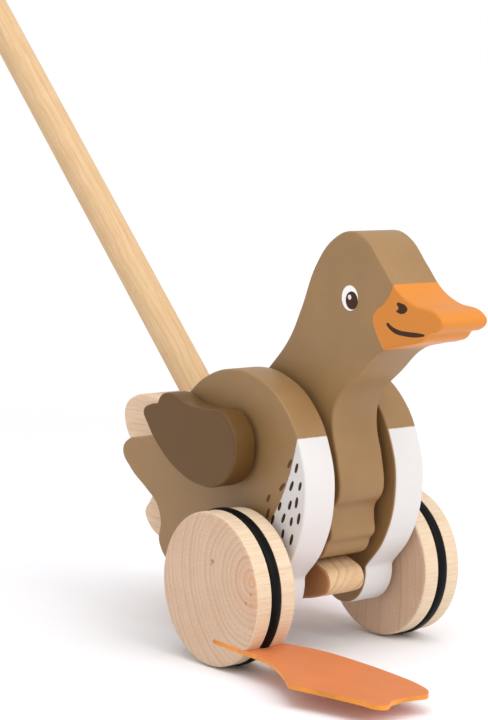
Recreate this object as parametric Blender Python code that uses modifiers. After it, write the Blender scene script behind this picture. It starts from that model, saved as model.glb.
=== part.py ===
"""Wooden push-along goose on a stick, with leather feet that slap the floor as its wheels turn.

The goose stands on the floor, facing +X, with +Y to its left and +Z up. The origin is on the floor,
midway along the toy's whole length. Shapes are drawn in millimetres from the floor point under the
axle, and spot() moves them to the origin and to metres.
"""

from math import acos, asin, cos, degrees, pi, radians, sin

import bmesh
import bpy
from mathutils import Matrix, Vector

MM = 0.001
Z = Vector((0, 0, 1))

# The whole toy
GAP = 0.3               # between pieces that touch
RUNNING = 0.15          # radial clearance of a turning fit
PAST = 5.0              # how far a cutter runs past the faces that it opens
CHAMFER = 0.5           # at the ends of dowels and pins
SQUARE = 0.01           # a cutter's chamfer, too small to show
WASHER_R = 9.0
WASHER_SLACK = 0.24     # gap at each face of a washer

# Wheels, feet and axle
WHEEL_R = 35.0
WHEEL_WIDTH = 22.0
WHEEL_INNER_Y = 39.0
WHEEL_EDGE = 1.2
TREAD_R = 35.8          # outside of the rubber ring
RING_EDGE = 0.8
RING_WIDTH = 5.4
RING_FROM_RIM = 10.9    # centre of the ring, in from the wheel's outer face
GROOVE_R = 33.0
AXLE_Z = TREAD_R
AXLE_R = 5.0
AXLE_HALF = 55.0
LEATHER = 2.0
SLOT = 2.6
SLOT_DROP = 24.0        # slot below the axle, at the rim
SLOT_MOUTH_X = 25.5
SLOT_BOTTOM_X = 3.0
TOE_X = 121.0
FOOT_TILT = radians(2.5)

# Body
BODY_INNER_Y = 18.0
BODY_THICK = 17.5
BODY_OUTER_Y = BODY_INNER_Y + BODY_THICK
BOSS_R = 16.5
EDGE = 1.5              # rounding of the boards' edges
CORE_HALF = BODY_INNER_Y - GAP
DOWEL_R = 4.0
DOWEL_SINK = 9.0
CORE_DOWELS = {"upper": (-80.0, 80.0), "lower": (-63.0, 54.0)}
SOCKET_REACH = 90.0     # of the cutter that opens the core for the stick

# Head and the cam that lifts it
HEAD_THICK = 27.0
HEAD_EDGE = 2.0
BEAK_X = 99.6
NECK_PIVOT = (-45.0, 88.0)
NECK_LOBE_R = 14.0
NECK_BOTTOM_Z = 47.1
CAM_THICK = 22.0
CAM_EDGE = 1.0
CAM_R = 11.0
CAM_NOSE_R = 6.5
CAM_THROW = 18.0
POCKET_R = 25.3
POCKET_THICK = 23.4

# Wings
WING_PIVOT = (-14.0, 97.0)
WING_INNER_Y = 38.0
WING_THICK = 12.0
WING_PIN_R = 4.0
WING_BORE_DEPTH = 8.0

# Stick and grip
STICK_R = 8.5
STICK_SLOPE = radians(46)
STICK_FOOT = (-73.0, 97.3)
STICK_LENGTH = 505.0
STICK_CHAMFER = 1.0
GRIP_R = 20.0
GRIP_BORE_DEPTH = 22.0

WOOD = (0.66, 0.49, 0.33)
STICK_WOOD = (0.75, 0.55, 0.34)
BROWN = (0.28, 0.18, 0.10)
DARK_BROWN = (0.13, 0.075, 0.04)
RUBBER = (0.012, 0.012, 0.013)
ORANGE = (0.80, 0.25, 0.08)

CORNER = "VECTOR"
ROUND = "AUTO"


def arc(centre, radius, start, end, points):
    """Points of an outline along an arc, with its angles in degrees from +X towards +Z."""
    angles = [radians(start + (end - start) * i / (points - 1)) for i in range(points)]
    return [(centre[0] + radius * cos(a), centre[1] + radius * sin(a)) for a in angles]


def up_stick(distance):
    """A point on the stick's centre line, at a distance from its foot."""
    x, z = STICK_FOOT
    return Vector((x - distance * cos(STICK_SLOPE), 0, z + distance * sin(STICK_SLOPE)))


GRIP_CENTRE = up_stick(STICK_LENGTH - GRIP_BORE_DEPTH + GRIP_R)
FRONT_X = SLOT_MOUTH_X + (TOE_X - SLOT_MOUTH_X) * cos(FOOT_TILT)
BACK_X = GRIP_CENTRE.x - GRIP_R
AXLE_X = -(FRONT_X + BACK_X) / 2

BODY_OUTLINE = [
    (16.4, 38.6, CORNER), (29.6, 54), (36.8, 78), (33.8, 99), (21.5, 119), (4, 129.4),
    (-14, 132.3), (-34, 128), (-49, 118.5), (-60, 107.5), (-72, 97.5), (-86, 93.2),
    (-100, 90.4), (-104, 85.2), (-97.4, 76.5), (-84, 67.8), (-75.6, 61.5), (-72.5, 53.5),
    (-74.2, 44.5), (-71.7, 39.2, CORNER), (-68.5, 36, CORNER), (-44, 34.6), (-16, 38.2, CORNER),
    *arc((0, AXLE_Z), BOSS_R, 185, 355, 7),
]
HEAD_OUTLINE = [
    (19.6, NECK_BOTTOM_Z), (24.2, 50.8), (25.4, 54.2), (28.6, 57.4), (28.3, 64.5), (28.6, 70),
    (33.4, 75.6), (34.8, 80), (33.4, 92), (29.6, 110), (32, 120.2), (47, 134), (60.5, 144.4),
    (74, 148), (83, 149.6), (88, 151.4), (90.2, 154.3, CORNER), (96.9, 155.9), (BEAK_X, 159.2),
    (96.9, 162.7), (82, 166.3), (72, 171.5), (62, 182), (51, 193.2), (41, 196.4), (29, 192.8),
    (17.5, 181.6), (6.3, 160), (-2, 146.2), (-17, 131.4), (-38, 113), (-52, 100.2),
    *arc(NECK_PIVOT, NECK_LOBE_R, 150, 270, 5), (-31, 69), (-18, 55.5), (-4, NECK_BOTTOM_Z),
]
CORE_OUTLINE = [
    (-61, 103), (-72, 108.8), (-96, 110.2), (-121.3, 108.2), (-127.6, 102.5), (-127.6, 94.5),
    (-121, 84), (-107, 72), (-103.4, 63), (-106.5, 57.4), (-110.7, 51.6), (-107.2, 45), (-98.5, 40),
    (-82, 38.6), (-60, 42), (-52, 52), (-55, 66), (-61.5, 82),
]
WING_OUTLINE = [
    (-66, 109.6), (-61, 112.7), (-54.6, 113.8, CORNER), (-52, 117.8), (-45.5, 119.5), (-32.3, 115.7),
    (-18, 114.6), (-5.5, 114.4), (2.8, 107.6), (5.2, 97.6), (0.6, 86), (-9.6, 79.9), (-22, 79),
    (-36.3, 82.5), (-52.1, 91.9), (-63, 103.6),
]
# Seen from above, as distances ahead of the axle and out from the middle of the wheel
FOOT_OUTLINE = [
    (SLOT_BOTTOM_X + 0.5, -10.6, CORNER), (24, -11, CORNER), (32, -14.4), (43, -18), (66, -21),
    (91, -21.2), (106, -19.4), (114.6, -16.2), (117.9, -12.1), (117.4, -7, CORNER), (116.7, 0),
    (117.9, 7.4, CORNER), (TOE_X, 13.2), (118.9, 15.8), (110, 17.4), (78.5, 25), (75.3, 26),
    (71.2, 23.9), (58.3, 17.2), (45.4, 12.4), (35, 10.7), (SLOT_BOTTOM_X + 0.5, 10.6, CORNER),
]


def collection(name):
    """A new collection in the scene."""
    group = bpy.data.collections.new(name)
    bpy.context.scene.collection.children.link(group)
    return group


def material(name, colour, roughness):
    """A plain Principled material."""
    made = bpy.data.materials.new(name)
    made.use_nodes = True
    shader = made.node_tree.nodes["Principled BSDF"]
    shader.inputs["Base Color"].default_value = (*colour, 1)
    shader.inputs["Roughness"].default_value = roughness
    return made


def spot(x, y, z):
    """A place in metres from millimetres measured from the floor under the axle."""
    return Vector((AXLE_X + x, y, z)) * MM


def finish(name, mesh, place, turn, stuff):
    """A smooth-shaded object in the goose's collection, with its mesh in millimetres scaled down."""
    mesh.transform(Matrix.Scale(MM, 4))
    mesh.shade_smooth()
    mesh.set_sharp_from_angle(angle=radians(35))
    piece = bpy.data.objects.new(name, mesh)
    piece.matrix_world = Matrix.Translation(place) @ turn
    goose.objects.link(piece)
    if stuff:
        piece.data.materials.append(stuff)
    return piece


def board_mesh(name, outline, thickness, resolution):
    """A flat outline cut from a board, closed and centred on its local XY plane."""
    curve = bpy.data.curves.new(name, "CURVE")
    curve.dimensions = "2D"
    curve.fill_mode = "BOTH"
    curve.extrude = thickness / 2
    curve.resolution_u = resolution
    spline = curve.splines.new("BEZIER")
    spline.bezier_points.add(len(outline) - 1)
    spline.use_cyclic_u = True
    for point, (x, y, *kind) in zip(spline.bezier_points, outline):
        point.co = (x, y, 0)
        point.handle_left_type = point.handle_right_type = kind[0] if kind else ROUND
    drawn = bpy.data.objects.new(name, curve)
    goose.objects.link(drawn)
    graph = bpy.context.evaluated_depsgraph_get()
    mesh = bpy.data.meshes.new_from_object(drawn.evaluated_get(graph))
    bpy.data.objects.remove(drawn)
    solid = bmesh.new()
    solid.from_mesh(mesh)
    bmesh.ops.remove_doubles(solid, verts=solid.verts, dist=0.001)
    for side in (1, -1):
        cap = [f for f in solid.faces if f.normal.z * side > 0.9]
        bmesh.ops.dissolve_faces(solid, faces=cap)
    bmesh.ops.recalc_face_normals(solid, faces=solid.faces)
    solid.to_mesh(mesh)
    solid.free()
    return mesh


def board(name, outline, middle_y, thickness, stuff, edge=EDGE, resolution=2):
    """A board standing on edge along X, drawn by its side view."""
    mesh = board_mesh(name, outline, thickness, resolution)
    piece = finish(name, mesh, spot(0, middle_y, 0), Matrix.Rotation(pi / 2, 4, "X"), stuff)
    if edge:
        rounding = piece.modifiers.new("rounded edges", "BEVEL")
        rounding.width = edge * MM
        rounding.segments = 2
        rounding.limit_method = "ANGLE"
        rounding.angle_limit = radians(50)
    return piece


def turned(name, profile, place, turn, stuff, sides=32):
    """A solid turned about its local Z axis from its profile, listed down its outer side."""
    mesh = bpy.data.meshes.new(name)
    links = [(i, i + 1) for i in range(len(profile) - 1)]
    if profile[0][0] > 0:
        links.append((len(profile) - 1, 0))
    mesh.from_pydata([(r, 0, z) for r, z in profile], links, [])
    drawn = bpy.data.objects.new(name, mesh)
    goose.objects.link(drawn)
    screw = drawn.modifiers.new("turned", "SCREW")
    screw.steps = screw.render_steps = sides
    screw.use_merge_vertices = True
    screw.merge_threshold = 0.0001
    graph = bpy.context.evaluated_depsgraph_get()
    solid = bpy.data.meshes.new_from_object(drawn.evaluated_get(graph))
    bpy.data.objects.remove(drawn)
    return finish(name, solid, place, turn, stuff)


def dowel(name, radius, start, end, stuff, sides=24, chamfer=CHAMFER):
    """A round bar between two places given in millimetres."""
    line = Vector(end) - Vector(start)
    half = line.length / 2
    profile = [(0, half), (radius - chamfer, half), (radius, half - chamfer)]
    profile += [(r, -z) for r, z in reversed(profile)]
    middle = (Vector(start) + Vector(end)) / 2
    return turned(name, profile, spot(*middle), Z.rotation_difference(line).to_matrix().to_4x4(),
                  stuff, sides)


def cutter(piece):
    """Moves a piece to the cutters' collection."""
    goose.objects.unlink(piece)
    cutters.objects.link(piece)
    piece.hide_render = True
    piece.display_type = "WIRE"
    return piece


def cut(piece, tool):
    """Cuts one solid from another."""
    boolean = piece.modifiers.new("cut " + tool.name, "BOOLEAN")
    boolean.object = tool
    boolean.solver = "EXACT"


def bore(name, at, radius, from_y, to_y, sides=24):
    """A cutter for a hole along Y."""
    ends = [(at[0], y, at[1]) for y in (from_y, to_y)]
    return cutter(dowel(name, radius, *ends, None, sides, SQUARE))


def box(name, low, high, turn=Matrix.Identity(4)):
    """A box between two corners, turned about its middle."""
    mesh = bpy.data.meshes.new(name)
    solid = bmesh.new()
    size = Vector(high) - Vector(low)
    bmesh.ops.create_cube(solid, size=1, matrix=Matrix.Diagonal((*size, 1)))
    solid.to_mesh(mesh)
    solid.free()
    return finish(name, mesh, spot(*((Vector(low) + Vector(high)) / 2)), turn, None)


def hinge(name, place, *pieces):
    """An empty on a joint's axis, which carries the pieces that turn with the joint."""
    axis = bpy.data.objects.new(name, None)
    axis.location = place
    axis.empty_display_size = 20 * MM
    goose.objects.link(axis)
    for piece in pieces:
        piece.parent = axis
        piece.matrix_parent_inverse = Matrix.Translation(-place)
    return axis


def body_side(side, y):
    """One painted board of the body, bored for the axle, the neck's dowel, the core's and the wing's."""
    board_y = y * (BODY_INNER_Y + BODY_THICK / 2)
    piece = board(side + "_body_side", BODY_OUTLINE, board_y, BODY_THICK, brown_paint)
    through = y * (BODY_INNER_Y - PAST), y * (BODY_OUTER_Y + PAST)
    inner = y * (BODY_INNER_Y - PAST), y * (BODY_INNER_Y + DOWEL_SINK + GAP)
    cut(piece, bore(side + "_axle_hole", (0, AXLE_Z), AXLE_R + RUNNING, *through))
    cut(piece, bore(side + "_neck_dowel_hole", NECK_PIVOT, AXLE_R + GAP, *inner))
    for name, at in CORE_DOWELS.items():
        cut(piece, bore(side + "_core_hole_" + name, at, DOWEL_R + GAP, *inner))
    outer = y * (BODY_OUTER_Y - DOWEL_SINK - GAP), y * (BODY_OUTER_Y + PAST)
    cut(piece, bore(side + "_wing_pin_hole", WING_PIVOT, WING_PIN_R + GAP, *outer))


def tail_core():
    """The bare wooden block between the body boards, which carries the stick."""
    core = board("tail_core", CORE_OUTLINE, 0, 2 * CORE_HALF, bare_wood)
    socket = up_stick(-GAP), up_stick(SOCKET_REACH)
    cut(core, cutter(dowel("stick_socket", STICK_R + GAP, *socket, None)))
    reach = BODY_INNER_Y + DOWEL_SINK
    for name, at in CORE_DOWELS.items():
        cut(core, bore("core_hole_" + name, at, DOWEL_R + GAP, -CORE_HALF - PAST, CORE_HALF + PAST))
        ends = [(at[0], y * reach, at[1]) for y in (-1, 1)]
        dowel("core_dowel_" + name, DOWEL_R, *ends, bare_wood, 16)


def push_stick():
    """The long round stick in the tail core, and the ball grip on its upper end."""
    dowel("push_stick", STICK_R, up_stick(0), up_stick(STICK_LENGTH), stick_wood, chamfer=STICK_CHAMFER)
    hole = STICK_R + GAP
    bottom = GRIP_BORE_DEPTH - GRIP_R + GAP
    steps = 12
    sweep = (pi - asin(hole / GRIP_R)) / steps
    ball = [(GRIP_R * sin(sweep * i), GRIP_R * cos(sweep * i)) for i in range(steps + 1)]
    profile = ball + [(hole, bottom), (0, bottom)]
    turn = Z.rotation_difference(up_stick(1) - up_stick(0)).to_matrix().to_4x4()
    turned("grip_ball", profile, spot(*GRIP_CENTRE), turn, stick_wood, 24)


def head():
    """The head and neck board, hollowed under the neck so that the cam can turn beneath it."""
    piece = board("head_and_neck", HEAD_OUTLINE, 0, HEAD_THICK, brown_paint, HEAD_EDGE)
    pocket = POCKET_THICK / 2
    cut(piece, bore("cam_pocket", (0, AXLE_Z), POCKET_R, -pocket, pocket, 32))
    through = HEAD_THICK / 2 + PAST
    cut(piece, bore("neck_pivot_hole", NECK_PIVOT, AXLE_R + RUNNING, -through, through))
    reach = BODY_INNER_Y + DOWEL_SINK
    ends = [(NECK_PIVOT[0], y * reach, NECK_PIVOT[1]) for y in (-1, 1)]
    dowel("neck_pivot_dowel", AXLE_R, *ends, bare_wood)
    hinge("head_nod", spot(NECK_PIVOT[0], 0, NECK_PIVOT[1]), piece)


def washer(name, at, inner_y, outer_y, hole_r):
    """A wooden ring along Y that keeps two pieces apart."""
    half = abs(outer_y - inner_y) / 2 - WASHER_SLACK
    profile = [(hole_r, half), (WASHER_R, half), (WASHER_R, -half), (hole_r, -half)]
    place = spot(at[0], (inner_y + outer_y) / 2, at[1])
    turned(name, profile, place, Matrix.Rotation(pi / 2, 4, "X"), bare_wood, 24)


def cam():
    """The egg-shaped cam on the axle, whose nose lifts the neck once a turn."""
    nose = (CAM_THROW, AXLE_Z)
    lean = degrees(acos((CAM_R - CAM_NOSE_R) / CAM_THROW))
    outline = arc(nose, CAM_NOSE_R, -lean, lean, 5) + arc((0, AXLE_Z), CAM_R, lean, 360 - lean, 8)
    piece = board("head_cam", outline, 0, CAM_THICK, bare_wood, CAM_EDGE)
    through = CAM_THICK / 2 + PAST
    cut(piece, bore("cam_hole", (0, AXLE_Z), AXLE_R + GAP, -through, through))
    return piece


def wheel_disc(side, place, outward):
    """A wheel with a groove for its ring and a blind bore for the axle."""
    face = WHEEL_WIDTH / 2
    ring = face - RING_FROM_RIM
    half = RING_WIDTH / 2 + GAP
    groove = GROOVE_R - GAP
    corner = WHEEL_R - WHEEL_EDGE
    hole = AXLE_R + GAP
    hole_end = AXLE_HALF + GAP - WHEEL_INNER_Y - face
    profile = [
        (0, face), (corner, face), (WHEEL_R, face - WHEEL_EDGE), (WHEEL_R, ring + half),
        (groove, ring + half), (groove, ring - half), (WHEEL_R, ring - half),
        (WHEEL_R, WHEEL_EDGE - face), (corner, -face), (hole, -face), (hole, hole_end), (0, hole_end),
    ]
    return turned(side + "_wheel", profile, place, outward, bare_wood, 48)


def tread_ring(side, place, outward):
    """The rubber ring in a wheel's groove."""
    half = RING_WIDTH / 2
    corner = TREAD_R - RING_EDGE
    profile = [
        (GROOVE_R, half), (corner, half), (TREAD_R, half - RING_EDGE), (TREAD_R, RING_EDGE - half),
        (corner, -half), (GROOVE_R, -half),
    ]
    return turned(side + "_tread_ring", profile, place, outward, rubber, 48)


def wheel(side, y, phase):
    """A wheel glued on the axle's end, with its rubber ring, and a slot that holds its leather foot."""
    face = WHEEL_WIDTH / 2
    middle = y * (WHEEL_INNER_Y + face)
    outward = Matrix.Rotation(-y * pi / 2, 4, "X")
    disc = wheel_disc(side, spot(0, middle, AXLE_Z), outward)
    tyre = tread_ring(side, spot(0, middle + y * (face - RING_FROM_RIM), AXLE_Z), outward)
    low = (SLOT_BOTTOM_X, middle - face - PAST, -SLOT_DROP - SLOT / 2)
    high = (SLOT_BOTTOM_X + 2 * WHEEL_R, middle + face + PAST, -SLOT_DROP + SLOT / 2)
    slot = cutter(box(side + "_slot", low, high))
    mouth = Vector((SLOT_MOUTH_X, 0, -SLOT_DROP)) * MM
    lean = Matrix.Translation(mouth) @ Matrix.Rotation(FOOT_TILT, 4, "Y") @ Matrix.Translation(-mouth)
    turn = Matrix.Rotation(phase, 4, "Y") @ lean
    slot.matrix_world = Matrix.Translation(spot(0, 0, AXLE_Z)) @ turn @ (
        Matrix.Translation(-spot(0, 0, 0)) @ slot.matrix_world)
    cut(disc, slot)
    cut(tyre, slot)
    frame = Matrix.Translation(spot(0, middle, AXLE_Z)) @ turn
    flap = hinge(side + "_foot_flap", frame @ mouth, foot(side, y, frame, phase > 0))
    return disc, tyre, flap


def foot(side, y, frame, pressed):
    """A leather foot. Where the body presses on it, its inner part is turned down beside the body."""
    outline = [(x, v * y, *kind) for x, v, *kind in FOOT_OUTLINE]
    mesh = board_mesh(side + "_foot", outline, LEATHER, 3)
    if pressed:
        turn_down(mesh, y)
    mesh.transform(Matrix.Translation((0, 0, -SLOT_DROP)))
    piece = finish(side + "_foot", mesh, Vector(), Matrix.Identity(4), leather)
    piece.matrix_world = frame
    return piece


def turn_down(mesh, y):
    """Folds a foot's inner part at a right angle, so that it hangs between wheel and body."""
    fold = WHEEL_INNER_Y + WHEEL_WIDTH / 2 - BODY_OUTER_Y - GAP - LEATHER
    crease = 0.1
    solid = bmesh.new()
    solid.from_mesh(mesh)
    for line in (fold, fold + crease):
        everything = [*solid.verts, *solid.edges, *solid.faces]
        bmesh.ops.bisect_plane(solid, geom=everything, plane_co=(0, -y * line, 0), plane_no=(0, 1, 0))
    beyond = [v for v in solid.verts if -y * v.co.y > fold + crease / 2]
    corner = Vector((0, -y * fold, LEATHER / 2))
    quarter = Matrix.Rotation(-y * pi / 2, 3, "X")
    bmesh.ops.rotate(solid, verts=beyond, cent=corner, matrix=quarter)
    solid.to_mesh(mesh)
    solid.free()


def wing(side, y):
    """A painted wing that turns on a pin in the body's side."""
    middle = y * (WING_INNER_Y + WING_THICK / 2)
    piece = board(side + "_wing", WING_OUTLINE, middle, WING_THICK, dark_paint)
    inner = y * (WING_INNER_Y - PAST), y * (WING_INNER_Y + WING_BORE_DEPTH)
    cut(piece, bore(side + "_wing_hole", WING_PIVOT, WING_PIN_R + RUNNING, *inner))
    ends = [
        (WING_PIVOT[0], y * reach, WING_PIVOT[1])
        for reach in (BODY_OUTER_Y - DOWEL_SINK, WING_INNER_Y + WING_BORE_DEPTH - GAP)
    ]
    dowel(side + "_wing_pin", WING_PIN_R, *ends, bare_wood, 20)
    hinge(side + "_wing_turn", spot(WING_PIVOT[0], middle, WING_PIVOT[1]), piece)
    washer(side + "_wing_washer", WING_PIVOT, y * BODY_OUTER_Y, y * WING_INNER_Y, WING_PIN_R + GAP)


for old in list(bpy.data.objects):
    bpy.data.objects.remove(old)
goose = collection("push_along_goose")
cutters = collection("cutters")
bare_wood = material("bare wood", WOOD, 0.6)
stick_wood = material("stick wood", STICK_WOOD, 0.5)
brown_paint = material("brown paint", BROWN, 0.45)
dark_paint = material("dark brown paint", DARK_BROWN, 0.45)
rubber = material("black rubber", RUBBER, 0.45)
leather = material("orange leather", ORANGE, 0.6)

tail_core()
push_stick()
head()
axle = dowel("axle", AXLE_R, (0, -AXLE_HALF, AXLE_Z), (0, AXLE_HALF, AXLE_Z), bare_wood)
turning = [axle, cam()]
for side, y, phase in (("right", -1, 0), ("left", 1, pi)):
    body_side(side, y)
    turning += wheel(side, y, phase)
    wing(side, y)
    hole = AXLE_R + GAP
    washer(side + "_neck_spacer", NECK_PIVOT, y * HEAD_THICK / 2, y * BODY_INNER_Y, hole)
    washer(side + "_axle_washer", (0, AXLE_Z), y * BODY_OUTER_Y, y * WHEEL_INNER_Y, hole)
hinge("axle_spin", spot(0, 0, AXLE_Z), *turning)
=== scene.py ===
"""The look of a wooden push-along goose: painted boards, turned wheels, rubber rings, leather feet.

Outlines are drawn in millimetres ahead of the axle and above the floor, as the toy's maker draws
them, and each piece's mesh is scaled to metres and set over the axle as it is made.
"""

from math import acos, cos, degrees, pi, radians, sin

import bmesh
import bpy
import numpy as np
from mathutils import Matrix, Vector


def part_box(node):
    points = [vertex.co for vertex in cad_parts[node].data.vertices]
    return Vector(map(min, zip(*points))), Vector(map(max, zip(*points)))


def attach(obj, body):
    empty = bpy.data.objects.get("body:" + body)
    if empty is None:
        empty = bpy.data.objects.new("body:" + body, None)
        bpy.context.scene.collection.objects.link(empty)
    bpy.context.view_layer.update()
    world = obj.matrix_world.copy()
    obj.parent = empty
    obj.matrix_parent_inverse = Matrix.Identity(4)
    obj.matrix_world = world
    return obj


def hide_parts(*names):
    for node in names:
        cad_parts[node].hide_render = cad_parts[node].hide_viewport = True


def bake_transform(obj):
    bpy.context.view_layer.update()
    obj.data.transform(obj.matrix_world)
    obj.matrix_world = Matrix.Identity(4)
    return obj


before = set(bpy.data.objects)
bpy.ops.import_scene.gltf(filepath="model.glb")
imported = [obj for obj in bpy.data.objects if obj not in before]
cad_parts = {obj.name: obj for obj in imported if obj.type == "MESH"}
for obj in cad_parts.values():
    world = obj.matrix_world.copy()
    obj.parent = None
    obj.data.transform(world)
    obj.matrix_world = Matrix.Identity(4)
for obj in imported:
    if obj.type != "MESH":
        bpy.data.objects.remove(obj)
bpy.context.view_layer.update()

# Camera. A long lens near floor height, ahead of the goose and to its right, looking slightly down.
# Millimetres here and below are counted from the floor under the axle.
MM = 0.001
AXLE_X = sum(corner.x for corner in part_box("axle")) / 2
AXLE_Z = 35.8
LOOKING_DOWN, TURNED_LEFT = 5.76, 51.82


def spot(x, y, z):
    """A place in the frame, from millimetres ahead of the axle, to its left and above the floor."""
    return Vector((AXLE_X + x * MM, y * MM, z * MM))


lens = bpy.data.cameras.new("camera")
lens.lens = 101.5
lens.clip_start, lens.clip_end = 0.01, 100
camera = bpy.data.objects.new("camera", lens)
camera.location = spot(713.5, -601.9, 229.5)
camera.rotation_euler = (radians(90 - LOOKING_DOWN), 0, radians(TURNED_LEFT))
bpy.context.scene.collection.objects.link(camera)
bpy.context.scene.camera = camera


# Floor and light. A white paper floor that fades into the white room, under one large soft lamp
# overhead and one ahead of the goose.
FLOOR_HALF = 6.0
FADE_FROM, FADE_TO = 0.45, 1.2
PAPER = (0.96, 0.955, 0.98)
ROOM = (1.0, 1.0, 1.0)
ROOM_LIGHT = 0.78
ROOM_GLOW = 1.05


def new_material(name):
    """A material, its shader, and a function that adds a node and fills its sockets.

    A socket takes a value, another socket, or a node, whose first output it then reads."""
    made = bpy.data.materials.new(name)
    made.use_nodes = True
    tree = made.node_tree

    def add(kind, sockets=(), **settings):
        node = tree.nodes.new("ShaderNode" + kind)
        for key, value in settings.items():
            setattr(node, key, value)
        fill(node, dict(sockets))
        return node

    def fill(node, sockets):
        for key, value in sockets.items():
            if isinstance(value, bpy.types.Node):
                value = value.outputs[0]
            if isinstance(value, bpy.types.NodeSocket):
                tree.links.new(value, node.inputs[key])
            else:
                node.inputs[key].default_value = value

    return made, tree.nodes["Principled BSDF"], add, fill


def link(name, mesh, *materials):
    """A new object in the scene with this mesh and these materials."""
    piece = bpy.data.objects.new(name, mesh)
    bpy.context.scene.collection.objects.link(piece)
    for stuff in materials:
        mesh.materials.append(stuff)
    return piece


def paper_floor():
    """Paper that turns by its distance from the toy into the plain white of the room."""
    made, shader, add, fill = new_material("paper floor")
    where = add("TexCoord").outputs["Object"]
    away = add("VectorMath", {0: where}, operation="LENGTH").outputs["Value"]
    fade = add("MapRange", {0: away, 1: FADE_FROM, 2: FADE_TO}, interpolation_type="SMOOTHSTEP")
    fibres = add("TexNoise", {"Vector": where, "Scale": 900.0})
    fill(shader, {"Base Color": (*PAPER, 1), "Roughness": 0.9, "Specular IOR Level": 0.1})
    fill(shader, {"Normal": add("Bump", {"Height": fibres, "Distance": 0.00003})})
    glow = add("Emission", {"Color": (*ROOM, 1), "Strength": ROOM_GLOW})
    mixed = add("MixShader", {0: fade, 1: shader, 2: glow})
    fill(made.node_tree.nodes["Material Output"], {"Surface": mixed})
    return made


def lamp(name, place, aim, size, power):
    """A square soft lamp in metres and watts, turned to its aim."""
    light = bpy.data.lights.new(name, "AREA")
    light.size = size
    light.energy = power
    piece = bpy.data.objects.new(name, light)
    piece.location = place
    piece.rotation_mode = "QUATERNION"
    piece.rotation_quaternion = (Vector(aim) - Vector(place)).to_track_quat("-Z", "Y")
    bpy.context.scene.collection.objects.link(piece)


grid = np.linspace(-FLOOR_HALF, FLOOR_HALF, 5)
floor_xy = np.stack(np.meshgrid(grid, grid), -1).reshape(-1, 2)
corner = (np.arange(4)[:, None] * 5 + np.arange(4)).reshape(-1, 1)
floor_mesh = bpy.data.meshes.new("floor")
floor_mesh.from_pydata(
    np.c_[floor_xy, np.zeros(25)].tolist(), [], (corner + [0, 1, 6, 5]).tolist())
link("floor", floor_mesh, paper_floor())

lamp("overhead", place=(0.7, -0.4, 1.9), aim=(0, 0, 0.1), size=1.5, power=14)
lamp("ahead", place=(1.75, 0.25, 1.2), aim=(0.1, 0, 0.1), size=1.2, power=13.5)
room = bpy.data.worlds.new("room")
room.use_nodes = True
walls = room.node_tree.nodes["Background"]
walls.inputs["Color"].default_value = (*ROOM, 1)
seen = room.node_tree.nodes.new("ShaderNodeLightPath").outputs["Is Camera Ray"]
shown = room.node_tree.nodes.new("ShaderNodeMapRange")
shown.inputs["To Min"].default_value = ROOM_LIGHT
room.node_tree.links.new(seen, shown.inputs["Value"])
room.node_tree.links.new(shown.outputs[0], walls.inputs["Strength"])
bpy.context.scene.world = room
bpy.context.scene.view_settings.view_transform = "Standard"


# Body sides. Two boards sawn from beech, with rounded edges and satin brown paint, and the breast
# masked off and sprayed white. They are glued to the tail core with dowels.
BODY_INNER_Y = 18.0
BODY_OUTER_Y = 35.5
BODY_EDGE = 1.0
BOSS_R = 16.5
SOFTENING = 0.9
AXLE_R, NECK_DOWEL_R, CORE_DOWEL_R, WING_PIN_R = 5.0, 5.0, 4.0, 4.0
GAP = 0.3
RUNNING = 0.15
OVERSHOOT = 5.0
DOWEL_SINK = 9.0
NECK_PIVOT = (-45.0, 88.0)
CORE_DOWELS = ((-80.0, 80.0), (-63.0, 54.0))
WING_PIVOT = (-14.0, 97.0)
BIB_CENTRE, BIB_R = (-61.2, 125.1), 94.5
BIB_TOP = 105.0
INNER_FACE = 18.5
SHARP = "sharp corner"
HANDLE = 0.39
CREASE = radians(38)
EDGE_SHARE = 0.6


def arc(centre, radius, start, end, points):
    """Points along an arc, with its angles in degrees from straight ahead towards straight up."""
    angles = np.radians(np.linspace(start, end, points))
    return [(centre[0] + radius * cos(a), centre[1] + radius * sin(a)) for a in angles]


BODY_OUTLINE = [
    (16.4, 38.6, SHARP), (29.6, 54), (36.8, 78), (33.8, 99), (21.5, 119), (4, 129.4),
    (-14, 132.3), (-34, 128), (-49, 118.5), (-60, 107.5), (-72, 97.5), (-86, 93.2),
    (-100, 90.4), (-104, 85.2), (-97.4, 76.5), (-84, 67.8), (-75.6, 61.5), (-72.5, 53.5),
    (-74.2, 44.5), (-71.7, 39.2, SHARP), (-68.5, 36, SHARP), (-44, 34.6), (-16, 38.2, SHARP),
    *arc((0, AXLE_Z), BOSS_R, 185, 355, 7),
]


def softened(loop, sigma):
    """Each point of an evenly spaced loop replaced by the Gaussian-weighted mean of its neighbours."""
    turns = np.fft.fftfreq(len(loop))[:, None]
    damping = np.exp(-2 * (pi * turns * sigma) ** 2)
    return np.real(np.fft.ifft(np.fft.fft(loop, axis=0) * damping, axis=0))


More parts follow.
